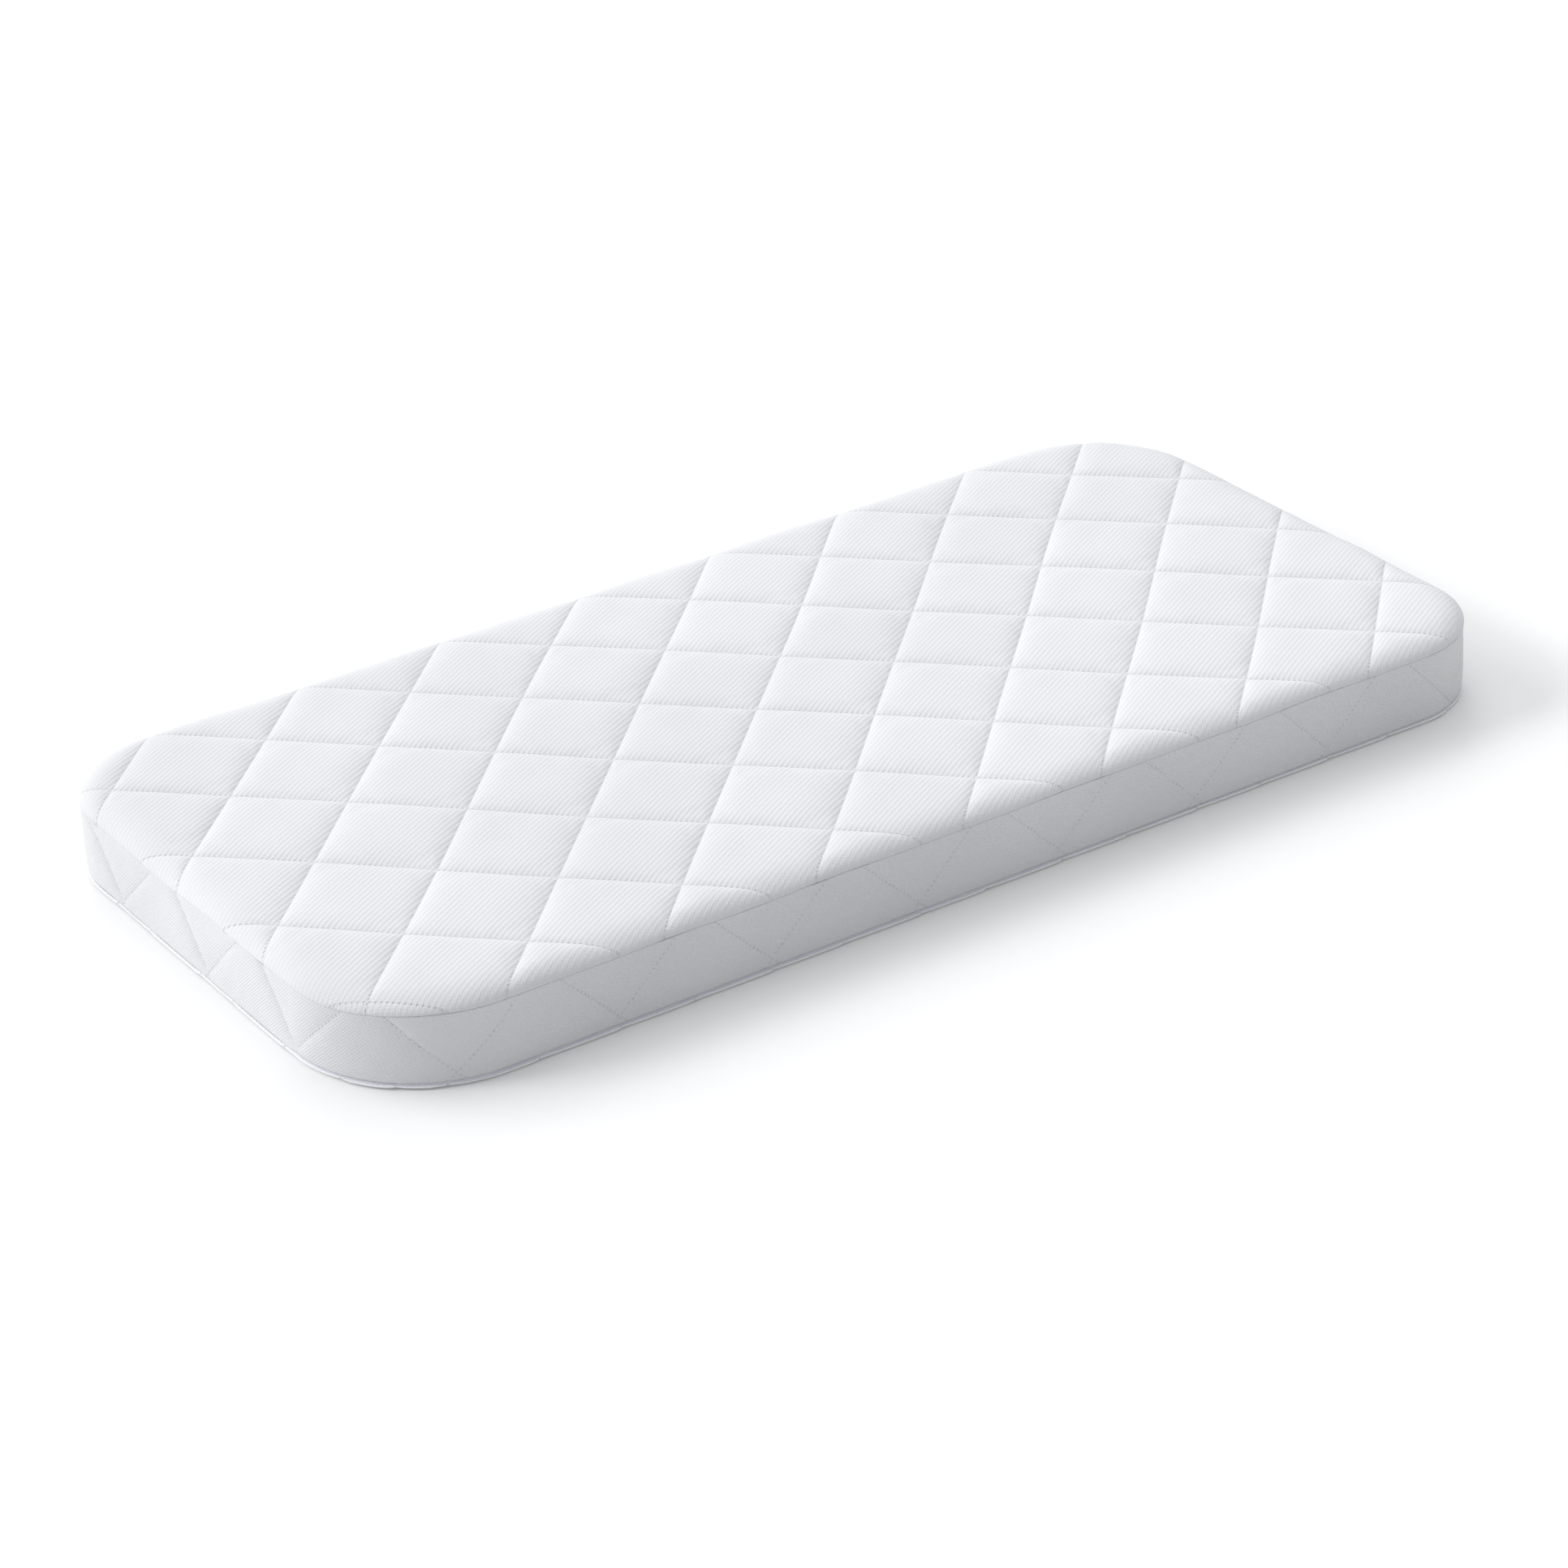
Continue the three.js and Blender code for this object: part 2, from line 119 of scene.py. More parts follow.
def inset_of(x, y):
    """How far inside the outline a point lies."""
    qx, qy, radius = corner_of(x, y)
    outside = np.hypot(np.maximum(qx, 0), np.maximum(qy, 0))
    return radius - (outside + np.minimum(np.maximum(qx, qy), 0))


def nearest_s(x, y):
    """Distance round the outline of the outline point nearest to (x, y)."""
    qx, qy, radius = corner_of(x, y)
    on_arc = (qx > 0) & (qy > 0)
    end_wall = ~on_arc & (qx >= qy)
    turned = np.arctan2(np.where(on_arc, qy, 0), np.where(on_arc, qx, 1))
    front_right = STARTS[1] + (math.pi / 2 - turned) * radius
    back_right = STARTS[3] + turned * radius
    back_left = STARTS[5] + (math.pi / 2 - turned) * radius
    front_left = STARTS[7] + turned * radius
    arc = np.where(y < 0, np.where(x > 0, front_right, front_left),
                   np.where(x > 0, back_right, back_left))
    ends = np.where(x > 0, STARTS[2] + y + HALF_W - FR, STARTS[6] + HALF_W - BL - y)
    sides = np.where(y < 0, x + HALF_L - FL, STARTS[4] + HALF_L - BR - x)
    return np.where(on_arc, arc, np.where(end_wall, ends, sides))


def left_wall(s):
    """1 on the left end wall, 0 on the others."""
    s = s % PERIMETER
    begun = smooth(s, STARTS[6] - 20, STARTS[6] + 30)
    return begun * (1 - smooth(s, STARTS[7] + 20, STARTS[8] - 30))


# ---- gentle repeatable noise -------------------------------------------------------------------
def waves(seed, count, low, high):
    """A table of plane waves with lengths from low to high mm, for ripple to add up."""
    r = np.random.default_rng(seed)
    angle = r.uniform(0, 2 * math.pi, count)
    size = r.uniform(low, high, count)
    return np.stack([np.cos(angle) / size, np.sin(angle) / size, r.uniform(0, 1, count)], -1)


def ripple(x, y, table):
    """A table's waves added up at (x, y), and scaled so that most values lie within 1.5 of 0."""
    total = 0
    for kx, ky, phase in table:
        total = total + np.sin(2 * math.pi * (kx * x + ky * y + phase))
    return total / math.sqrt(len(table))


DRIFT_A, DRIFT_B = waves(1, 5, 160, 420), waves(2, 5, 160, 420)
LOFT, LUMPS = waves(3, 6, 70, 200), waves(4, 9, 22, 48)
EDGE_ROLL = waves(6, 5, 60, 160)
SEAM_DRIFT = ((12, 0.15), (15, 0.62), (19, 0.37), (26, 0.88))  # waves in one round, phase in turns


# ---- quilting ----------------------------------------------------------------------------------
def lines_at(x, y):
    """Quilting coordinates: stitched lines lie where either is whole."""
    x = x + DRIFT * ripple(x, y, DRIFT_A)
    y = y + DRIFT * ripple(x, y, DRIFT_B)
    return (x - y + STEEP_OFFSET) / DIAGONAL, (x + y + LEVEL_OFFSET) / DIAGONAL


def swell(a):
    """0 on a stitched line, rising steeply to 1 halfway to the next."""
    t = a - np.floor(a)
    return (4 * t * (1 - t) + 1e-9) ** 0.6


def to_line(a):
    """Distance in mm to the nearest stitched line."""
    return np.abs(a - np.round(a)) * SIDE


def quilt(a, b):
    """Rise of a quilted panel between its stitched lines, 0 at a line and 1 mid-diamond."""
    return swell(a) * swell(b)


def crease(a, after, before):
    """0 on a stitched line, 1 away from it, over a width in mm after the line and one before it."""
    t = (a - np.floor(a)) * SIDE
    return (1 - np.exp(-t / after)) * (1 - np.exp((t - SIDE) / before))


def puckers(a, b):
    """Small gathers that run off each stitched line."""
    near_a, near_b = to_line(a), to_line(b)
    along_a, along_b = b * SIDE, a * SIDE
    shape_a = np.sin(2 * math.pi * along_a / 6.1 + 3 * np.sin(along_a / 9.3 + np.round(a) * 5))
    shape_b = np.sin(2 * math.pi * along_b / 5.7 + 3 * np.sin(along_b / 8.1 + np.round(b) * 3))
    return (shape_a * np.exp(-((near_a - 2.4) / 2.2) ** 2)
            + shape_b * np.exp(-((near_b - 2.4) / 2.2) ** 2))


def seam_wave(s):
    """How far the top seam strays up or down."""
    turns = np.asarray(s, float) / PERIMETER
    total = sum(np.sin(2 * math.pi * (count * turns + phase)) for count, phase in SEAM_DRIFT)
    return (0.35 + 0.4 * left_wall(s)) * total / 2


def seam_notch(s):
    """How strongly the top panel's stitched lines draw the seam in where they run into it: 1 for
    a steep line and 0.5 for a level one."""
    xy, _ = outline(s, 1.0)
    a, b = lines_at(xy[..., 0], xy[..., 1])
    return np.exp(-(to_line(a) / 2.6) ** 2) + 0.5 * np.exp(-(to_line(b) / 2.2) ** 2)


def panel_base(x, y, d):
    """Level of the stitched lines: flat, and rolling down to the seam along the edge."""
    roll = np.clip((d - 0.35) / (ROLL_WIDTH + 1.5 * ripple(x, y, EDGE_ROLL)), 0, 1)
    wave = seam_wave(nearest_s(x, y)) * (1 - smooth(d, 0, 22))
    return SEAM_Z + wave + (VALLEY_Z - SEAM_Z) * np.sqrt(np.maximum(1 - (1 - roll) ** 2.2, 0))


def top_height(x, y, d):
    """Height of the top panel: the blown-up cloth, pressed flat on top, over its stitched lines."""
    a, b = lines_at(x, y)
    if CLOTH_RISE is None:
        full = quilt(a, b)
    else:
        full = sample_rise(CLOTH_RISE, a, b) / CLOTH_LIFT
    pressed = crease(a, *TOP_STEEP_SLOPES) * crease(b, *TOP_LEVEL_SLOPES)
    dome = np.tanh(DOME_GAIN * full) / math.tanh(DOME_GAIN)
    rise = PUFF_RISE * pressed + DOME_RISE * dome
    near = smooth(d, -1, 20)
    loft = (1 + 0.07 * ripple(x, y, LOFT)) * (0.25 + 0.75 * near) * smooth(d, 0, 6)
    small = 0.10 * ripple(x, y, LUMPS) * np.minimum(quilt(a, b) * 2, 1)
    gathers = 0.03 * puckers(a, b) * smooth(d, 0, 8)
    return panel_base(x, y, d) + rise * loft + small + gathers


# ---- mesh helpers ------------------------------------------------------------------------------
def new_mesh(name, verts, faces, material, attributes=None, flat=False):
    mesh = bpy.data.meshes.new(name)
    mesh.from_pydata((np.asarray(verts) * MM).tolist(), [], [tuple(f) for f in faces])
    mesh.validate()
    for key, values in (attributes or {}).items():
        layer = mesh.attributes.new(key, "FLOAT", "POINT")
        layer.data.foreach_set("value", np.asarray(values, np.float32))
    if not flat:
        mesh.polygons.foreach_set("use_smooth", [True] * len(mesh.polygons))
    mesh.update()
    obj = bpy.data.objects.new(name, mesh)
    bpy.context.scene.collection.objects.link(obj)
    obj.data.materials.append(material)
    return obj


def grid_faces(rows, cols):
    """Quads between rows of a grid, each row cols points long."""
    corner = np.arange(rows - 1)[:, None] * cols + np.arange(cols - 1)[None, :]
    return np.stack([corner, corner + 1, corner + cols + 1, corner + cols], -1).reshape(-1, 4)


def swept(profile, s_values, closed):
    """A tube through the outline's stations. profile is [(inset, z), ...] in order round it."""
    n = len(profile)
    points = []
    for inset, z in profile:
        xy, _ = outline(s_values, inset)
        height = np.broadcast_to(np.asarray(z, float), xy.shape[:1])
        points.append(np.column_stack([xy, height]))
    verts = np.concatenate(points)
    cols = len(s_values)
    faces = []
    for i in range(n):
        k = (i + 1) % n
        j = np.arange(cols if closed else cols - 1)
        m = (j + 1) % cols
        faces.append(np.stack([i * cols + j, i * cols + m, k * cols + m, k * cols + j], -1))
    faces = [tuple(f) for f in np.concatenate(faces)]
    if not closed:
        faces.append(tuple(i * cols for i in range(n)))
        faces.append(tuple(i * cols + cols - 1 for i in reversed(range(n))))
    return verts, faces


REACH = 7  # diamonds either way from the middle that a panel's mesh starts from


def panel_grid(ticks, stop):
    """A sheet whose mesh follows the quilting lines, ending on the contour `stop` inside the edge."""
    t = np.array([i + v / SIDE for i in range(-REACH, REACH) for v in ticks])
    a, b = np.meshgrid(t, t, indexing="ij")
    x = (a + b) * DIAGONAL / 2 - (STEEP_OFFSET + LEVEL_OFFSET) / 2
    y = (b - a) * DIAGONAL / 2 + (STEEP_OFFSET - LEVEL_OFFSET) / 2
    n = len(t)
    x, y = x.ravel(), y.ravel()
    drift_x, drift_y = DRIFT * ripple(x, y, DRIFT_A), DRIFT * ripple(x, y, DRIFT_B)
    x, y = x - drift_x, y - drift_y
    d = inset_of(x, y)
    inside = d > stop + 0.02
    quads = grid_faces(n, n)
    quads = quads[inside[quads].any(1)]
    used = np.unique(quads)
    remap = -np.ones(len(x), int)
    remap[used] = np.arange(len(used))
    x, y, inside, quads = x[used], y[used], inside[used], remap[quads]
    s = nearest_s(x, y)
    on_edge, _ = outline(s, stop)
    x = np.where(inside, x, on_edge[:, 0])
    y = np.where(inside, y, on_edge[:, 1])
    # points pulled onto the contour that meet are joined
    key = np.where(inside, np.arange(len(x)) + 1e7, np.round(s / 0.35))
    _, first, where = np.unique(key, return_index=True, return_inverse=True)
    x, y, s, inside = x[first], y[first], s[first], inside[first]
    quads = where[quads]
    faces = []
    for q in quads[:, ::-1].tolist():
        loop = [v for i, v in enumerate(q) if v != q[i - 1]]
        if len(set(loop)) == len(loop) and len(loop) >= 3:
            faces.append(loop)
    rim = np.flatnonzero(~inside)
    rim = rim[np.argsort(s[rim])]
    return x, y, faces, rim, s[rim]


# ---- cloth -------------------------------------------------------------------------------------
CLOTH_STEPS = 18     # mesh steps along a diamond's side in the simulated sheet
CLOTH_SLACK = 0.015  # share by which the fabric is longer than the flat panel it covers
CLOTH_FRAMES = 20


def blow_up(points, faces, pinned):
    """Pressure lifts a slack sheet off its pinned stitches. Gives where its points come to rest."""
    mesh = bpy.data.meshes.new("slack_sheet")
    mesh.from_pydata((points * MM).tolist(), [], [tuple(f) for f in faces])
    sheet = bpy.data.objects.new("slack_sheet", mesh)
    bpy.context.scene.collection.objects.link(sheet)
    group = sheet.vertex_groups.new(name="stitched")
    group.add(np.flatnonzero(pinned).tolist(), 1.0, "REPLACE")
    cloth = sheet.modifiers.new("cloth", "CLOTH")
    cloth.settings.mass = 0.003
    cloth.settings.vertex_group_mass = "stitched"
    cloth.settings.use_pressure = True
    cloth.settings.uniform_pressure_force = 30
    cloth.settings.shrink_min = -CLOTH_SLACK
    cloth.settings.shrink_max = -CLOTH_SLACK
    cloth.settings.effector_weights.gravity = 0
    cloth.collision_settings.use_collision = False
    cloth.point_cache.frame_end = CLOTH_FRAMES
    for step in range(1, CLOTH_FRAMES + 1):
        bpy.context.scene.frame_set(step)
    settled = sheet.evaluated_get(bpy.context.evaluated_depsgraph_get()).to_mesh()
    places = np.empty(len(points) * 3)
    settled.vertices.foreach_get("co", places)
    bpy.data.objects.remove(sheet)
    bpy.context.scene.frame_set(1)
    return places.reshape(-1, 3) / MM


def cloth_rise():
    """Rise of the blown-up top panel over its stitched lines, diamond by diamond."""
    ticks = [SIDE * i / CLOTH_STEPS for i in range(CLOTH_STEPS)]
    x, y, faces, rim, _ = panel_grid(ticks, 3.0)
    d = inset_of(x, y)
    a, b = lines_at(x, y)
    base = panel_base(x, y, d)
    pinned = (to_line(a) < 0.3) | (to_line(b) < 0.3)
    pinned[rim] = True
    start = np.column_stack([x, y, base + 0.4 * quilt(a, b)])
    rise = np.clip(blow_up(start, faces, pinned)[:, 2] - base, -0.5, 9)
    side = 2 * REACH * CLOTH_STEPS
    i = np.round((a + REACH) * CLOTH_STEPS).astype(int)
    j = np.round((b + REACH) * CLOTH_STEPS).astype(int)
    free = ~pinned
    whole = np.zeros((side + 1, side + 1))
    whole[i[free], j[free]] = rise[free]
    # each diamond is kept apart, and carried on past its stitches with the sign turned
    n, k = CLOTH_STEPS, 2 * REACH
    at = np.arange(k)[:, None] * n + np.arange(n + 1)[None, :]
    cells = whole[at[:, None, :, None], at[None, :, None, :]]
    cells = np.concatenate([-cells[:, :, 1:2], cells, -cells[:, :, -2:-1]], 2)
    return np.concatenate([-cells[..., 1:2], cells, -cells[..., -2:-1]], 3)


def catmull(t):
    """Weights of the four neighbours at share t between the middle two."""
    return np.stack([-t + 2 * t ** 2 - t ** 3, 2 - 5 * t ** 2 + 3 * t ** 3,
                     t + 4 * t ** 2 - 3 * t ** 3, -t ** 2 + t ** 3]) / 2


def sample_rise(cells, a, b):
    """Smooth reading of the diamonds' rise at quilting coordinates a, b."""
    ca, cb = np.floor(a).astype(int), np.floor(b).astype(int)
    u, v = (a - ca) * CLOTH_STEPS, (b - cb) * CLOTH_STEPS
    i = np.minimum(u.astype(int), CLOTH_STEPS - 1)
    j = np.minimum(v.astype(int), CLOTH_STEPS - 1)
    wu, wv = catmull(u - i), catmull(v - j)
    total = 0
    for p in range(4):
        for q in range(4):
            total = total + wu[p] * wv[q] * cells[ca + REACH, cb + REACH, i + p, j + q]
    return np.maximum(total, 0)


# ---- materials ---------------------------------------------------------------------------------
class Nodes:
    """Short names for building a material's node tree."""

    def __init__(self, name, **principled):
        self.material = bpy.data.materials.new(name)
        self.material.use_nodes = True
        self.tree = self.material.node_tree
        self.shader = self.tree.nodes["Principled BSDF"]
        for key, value in principled.items():
            self.shader.inputs[key.replace("_", " ").title()].default_value = value

    def link(self, value, socket):
        if hasattr(value, "is_output"):
            self.tree.links.new(value, socket)
        else:
            socket.default_value = value

    def maths(self, operation, a, b=None, c=None):
        node = self.tree.nodes.new("ShaderNodeMath")
        node.operation = operation
        for value, socket in zip((a, b, c), node.inputs):
            if value is not None:
                self.link(value, socket)
        return node.outputs[0]

    def attribute(self, name):
        node = self.tree.nodes.new("ShaderNodeAttribute")
        node.attribute_name = name
        return node.outputs["Fac"]

    def place(self):
        return self.tree.nodes.new("ShaderNodeTexCoord").outputs["Object"]

    def noise(self, scale, detail=2.0, vector=None, roughness=0.5):
        node = self.tree.nodes.new("ShaderNodeTexNoise")
        node.inputs["Scale"].default_value = scale
        node.inputs["Detail"].default_value = detail
        node.inputs["Roughness"].default_value = roughness
        self.tree.links.new(vector or self.place(), node.inputs["Vector"])
        return node.outputs["Fac"]

    def ramp(self, value, low, high, to_low, to_high):
        node = self.tree.nodes.new("ShaderNodeMapRange")
        node.interpolation_type = "SMOOTHSTEP"
        self.link(value, node.inputs[0])
        for i, number in enumerate((low, high, to_low, to_high), 1):
            node.inputs[i].default_value = number
        return node.outputs[0]

    def mix(self, share, low, high):
        node = self.tree.nodes.new("ShaderNodeMix")
        node.data_type = "RGBA"
        self.link(share, node.inputs["Factor"])
        for value, socket in ((low, node.inputs[6]), (high, node.inputs[7])):
            if hasattr(value, "is_output"):
                self.tree.links.new(value, socket)
            else:
                socket.default_value = (*value, 1)
        return node.outputs[2]

    def bump(self, height, distance, after=None):
        node = self.tree.nodes.new("ShaderNodeBump")
        node.inputs["Strength"].default_value = 1.0
        node.inputs["Distance"].default_value = distance
        self.tree.links.new(height, node.inputs["Height"])
        if after:
            self.tree.links.new(after, node.inputs["Normal"])
        return node.outputs[0]

    def wave(self, u, v, ku, kv):
        turns = self.maths("MULTIPLY_ADD", u, ku, self.maths("MULTIPLY", v, kv))
        return self.maths("COSINE", self.maths("MULTIPLY", turns, 2 * math.pi))


# Painted shade: STITCH_SHADE is the dark laid into the stitched grooves and needle holes, RIB_SHADE the
# dark laid into the knit's hollows.
STITCH_SHADE, RIB_SHADE = (0.3, 0.3, 0.33), (0.42, 0.43, 0.47)
GROOVE_PAINTED_SHADE, HOLE_PAINTED_SHADE = 0.3, 0.18            # shares of the stitches' shade
KNIT_DEPTH, STITCH_DEPTH = 0.000125, 0.0004   # metres


def knit_cloth(name, low, high, rib=1.0, dimple=0.0, stitch=1.0, soft=1.0):
    """Stretch knit: fine slanting ribs and small dimples, sewn through along the stitched lines, with
    painted shade in the grooves, the needle holes and the ribs' hollows.
    soft is the share of the grooves' painted shade that the lines of line_a get."""
    n = Nodes(name, roughness=0.88, sheen_weight=0.25, sheen_roughness=0.6)
    n.shader.inputs["Specular IOR Level"].default_value = 0.25
    u, v, edge = n.attribute("knit_u"), n.attribute("knit_v"), n.attribute("edge")
    wander = n.maths("MULTIPLY", n.noise(14, 1.0), 1.1)
    u = n.maths("ADD", u, wander)
    k1, k2 = [(math.cos(math.radians(tilt)) / pitch, math.sin(math.radians(tilt)) / pitch)
              for tilt, pitch in ((RIB_TILT, RIB_PITCH), (CROSS_TILT, CROSS_PITCH))]
    ribs = n.maths("MULTIPLY", n.wave(u, v, *k1), n.maths("MULTIPLY_ADD", edge, -0.4 * rib, rib))
    cross = n.wave(u, v, *k2)
    both = n.wave(u, v, k1[0] + k2[0], k1[1] + k2[1])
    pits = n.maths("MULTIPLY", n.wave(u, v, 1 / 2.3, 0.0), n.wave(u, v, 0.0, 1 / 2.0))
    pits = n.maths("MULTIPLY", pits, n.maths("MULTIPLY_ADD", edge, 0.35, dimple))
    height = n.maths("MULTIPLY_ADD", cross, 0.10, n.maths("MULTIPLY_ADD", both, 0.10, pits))
    height = n.maths("MULTIPLY_ADD", ribs, 0.5, height)
    fuzz = n.noise(900, 3.0)
    height = n.maths("MULTIPLY_ADD", fuzz, 0.7, height)
    a, b = n.attribute("line_a"), n.attribute("line_b")
    holes, grooves = [], []
    for across, along in ((a, b), (b, a)):
        off = n.maths("MULTIPLY", n.maths("SUBTRACT", across, n.maths("ROUND", across)), SIDE)
        grooves.append(n.ramp(n.maths("ABSOLUTE", off), 0.15, 0.75, 1.0, 0.0))
        off = n.maths("DIVIDE", off, 0.75)
        step = n.maths("MULTIPLY", along, SIDE / STITCH)
        step = n.maths("SUBTRACT", n.maths("FRACT", step), 0.5)
        step = n.maths("DIVIDE", n.maths("MULTIPLY", step, STITCH), 0.8)
        far = n.maths("ADD", n.maths("MULTIPLY", off, off), n.maths("MULTIPLY", step, step))
        holes.append(n.ramp(far, 0.0, 1.5, 1.0, 0.0))
    depth = n.maths("MULTIPLY_ADD", edge, stitch - 0.3, 0.3)
    hole = n.maths("MULTIPLY", n.maths("MAXIMUM", *holes), depth)
    groove = n.maths("MAXIMUM", n.maths("MULTIPLY", grooves[0], soft), grooves[1])
    tone = n.ramp(n.noise(7, 3.0), 0.3, 0.7, 0.0, 1.0)
    colour = n.mix(tone, low, high)
    shade = n.ramp(height, -0.9, 1.0, 0.1, 0.0)
    colour = n.mix(shade, colour, RIB_SHADE)
    # Painted shade in the stitched grooves, as strong as each mesh's crease attribute asks.
    groove = n.maths("MULTIPLY", groove, n.maths("MULTIPLY", n.attribute("crease"), GROOVE_PAINTED_SHADE))
    colour = n.mix(groove, colour, STITCH_SHADE)
    # Painted shade in the needle holes, stronger towards the panels' edges.
    colour = n.mix(n.maths("MULTIPLY", hole, HOLE_PAINTED_SHADE), colour, STITCH_SHADE)
    n.tree.links.new(colour, n.shader.inputs["Base Color"])
    weave = n.bump(height, KNIT_DEPTH)
    n.tree.links.new(n.bump(hole, -STITCH_DEPTH, after=weave), n.shader.inputs["Normal"])
    rough = n.ramp(fuzz, 0.3, 0.7, 0.82, 0.95)
    n.tree.links.new(rough, n.shader.inputs["Roughness"])
    return n.material


def woven_tape(name, low, high, pitch=0.0006):
    n = Nodes(name, roughness=0.8, sheen_weight=0.15)
    place = n.place()
    split = n.tree.nodes.new("ShaderNodeSeparateXYZ")
    n.tree.links.new(place, split.inputs[0])
    x, y, z = split.outputs
    along = n.maths("ADD", x, y)
    weave = n.maths("MULTIPLY", n.maths("SINE", n.maths("MULTIPLY", along, 2 * math.pi / pitch)),
                    n.maths("SINE", n.maths("MULTIPLY", z, 2 * math.pi / pitch)))
    tone = n.ramp(n.noise(60, 2.0), 0.3, 0.7, 0.0, 1.0)
    n.tree.links.new(n.mix(tone, low, high), n.shader.inputs["Base Color"])
    n.tree.links.new(n.bump(weave, 0.0001), n.shader.inputs["Normal"])
    return n.material


def fibre(name, low, high, scale=260, depth=0.0004, roughness=0.95):
    n = Nodes(name, roughness=roughness, sheen_weight=0.2)
    strands = n.noise(scale, 5.0, roughness=0.7)
    tone = n.ramp(strands, 0.3, 0.7, 0, 1)
    n.tree.links.new(n.mix(tone, low, high), n.shader.inputs["Base Color"])
    n.tree.links.new(n.bump(strands, depth), n.shader.inputs["Normal"])
    return n.material


def foam(name, low, high, cell):
    n = Nodes(name, roughness=0.92)
    node = n.tree.nodes.new("ShaderNodeTexVoronoi")
    node.inputs["Scale"].default_value = cell
    n.tree.links.new(n.place(), node.inputs["Vector"])
    pores = node.outputs["Distance"]
    tone = n.maths("MULTIPLY_ADD", n.noise(12, 3.0), 0.6, n.maths("MULTIPLY", pores, 0.5))
    tone = n.ramp(tone, 0.2, 0.8, 0, 1)
    n.tree.links.new(n.mix(tone, low, high), n.shader.inputs["Base Color"])
    n.tree.links.new(n.bump(pores, 0.0006), n.shader.inputs["Normal"])
    return n.material


def nylon(name, low, high, roughness=0.4):
    n = Nodes(name, roughness=roughness)
    tone = n.ramp(n.noise(400, 2.0), 0.3, 0.7, 0.0, 1.0)
    n.tree.links.new(n.mix(tone, low, high), n.shader.inputs["Base Color"])
    n.tree.links.new(n.ramp(n.noise(900, 2.0), 0.3, 0.7, roughness - 0.07, roughness + 0.1),
                     n.shader.inputs["Roughness"])
    n.tree.links.new(n.bump(n.noise(1500, 2.0), 0.00003), n.shader.inputs["Normal"])
    return n.material


KNIT = knit_cloth("ribbed_knit", (0.58, 0.59, 0.61), (0.615, 0.62, 0.635), stitch=0.7)
KNIT_EDGE = knit_cloth("ribbed_knit_border", (0.595, 0.60, 0.615), (0.63, 0.635, 0.645),
                       rib=0.25, dimple=0.4, stitch=0.65, soft=0.2)
# The underside's knit is white like the top's, and coloured lighter than it as painted highlight, so
# that its bound edge shows as a bright lit line along the bottom.
KNIT_UNDER_HIGHLIGHT = knit_cloth("ribbed_knit_under_highlight", (0.80, 0.805, 0.815), (0.84, 0.845, 0.85))
WADDING = fibre("polyester_wadding", (0.86, 0.86, 0.84), (0.95, 0.95, 0.93))
BACKING = fibre("nonwoven_backing", (0.72, 0.72, 0.71), (0.84, 0.84, 0.83), 700, 0.0001)
THREAD = fibre("white_thread", (0.70, 0.70, 0.72), (0.80, 0.80, 0.81), 2500, 0.00005, 0.7)
# Painted shade: the top seam's allowance is coloured dark grey to stand for the shade in the seam's
# crevice.
SEAM = fibre("seam_edges_painted_shade", (0.42, 0.42, 0.44), (0.50, 0.50, 0.52), 900, 0.0001)
TAPE = woven_tape("zip_tape", (0.79, 0.78, 0.87), (0.83, 0.82, 0.90))
COIL = nylon("zip_nylon", (0.74, 0.73, 0.84), (0.80, 0.79, 0.88))
ENAMEL = nylon("slider_enamel", (0.70, 0.70, 0.73), (0.76, 0.76, 0.79), 0.3)
SLEEVE = fibre("sleeve_knit", (0.80, 0.80, 0.80), (0.88, 0.88, 0.88), 900, 0.0001)
MEMORY = foam("memory_foam", (0.80, 0.73, 0.50), (0.90, 0.84, 0.63), 700)
BASE = foam("base_foam", (0.62, 0.66, 0.72), (0.72, 0.75, 0.80), 500)
LABEL = woven_tape("label_satin", (0.86, 0.86, 0.86), (0.92, 0.92, 0.92), 0.0004)

for node, material in {
    "top_panel_backing": BACKING, "border_backing": BACKING, "bottom_panel_backing": BACKING,
    "zip_start_bar_tack": THREAD, "zip_end_bar_tack": THREAD, "bottom_seam_allowance": THREAD,
    "top_seam_allowance": SEAM, "inner_sleeve": SLEEVE, "support_foam_base": BASE,
    "memory_foam_layer": MEMORY, "care_label": LABEL, "zip_slider_body": ENAMEL,
    "zip_pull_tab": ENAMEL,
}.items():
    data = bpy.data.objects[node].data
    data.materials.clear()
    data.materials.append(material)


# ---- top panel ---------------------------------------------------------------------------------
def both_ways(ticks):
    """Mesh steps from one stitched line to the next, close together beside both."""
    return ticks + [SIDE - v for v in reversed(ticks[1:])]


FINE = both_ways([0, 0.6, 1.4, 2.5, 4, 6, 8.5, 11.5, 15, 18.5, 22, 25.5, 29, 32.5])
MIDDLE = both_ways([0, 0.8, 2, 3.6, 5.6, 8.5, 12.5, 17.5, 23.5, 30])
COARSE = both_ways([0, 1.5, 4, 8, 14, 22, 30])


def rim_rings(x, y, rim, rim_s, steps):
    """Rings that carry a panel on from the contour rim, one at each inset of steps: x, y, the
    faces between the rings, and the last ring."""
    m = len(rim)
    nxt = np.roll(np.arange(m), -1)
    faces, inner = [], rim
    for inset in steps:
        xy, _ = outline(rim_s, inset)
        outer = len(x) + np.arange(m)
        x, y = np.append(x, xy[:, 0]), np.append(y, xy[:, 1])
        faces += np.stack([inner, outer, outer[nxt], inner[nxt]], -1).tolist()
        inner = outer
    return x, y, faces, inner


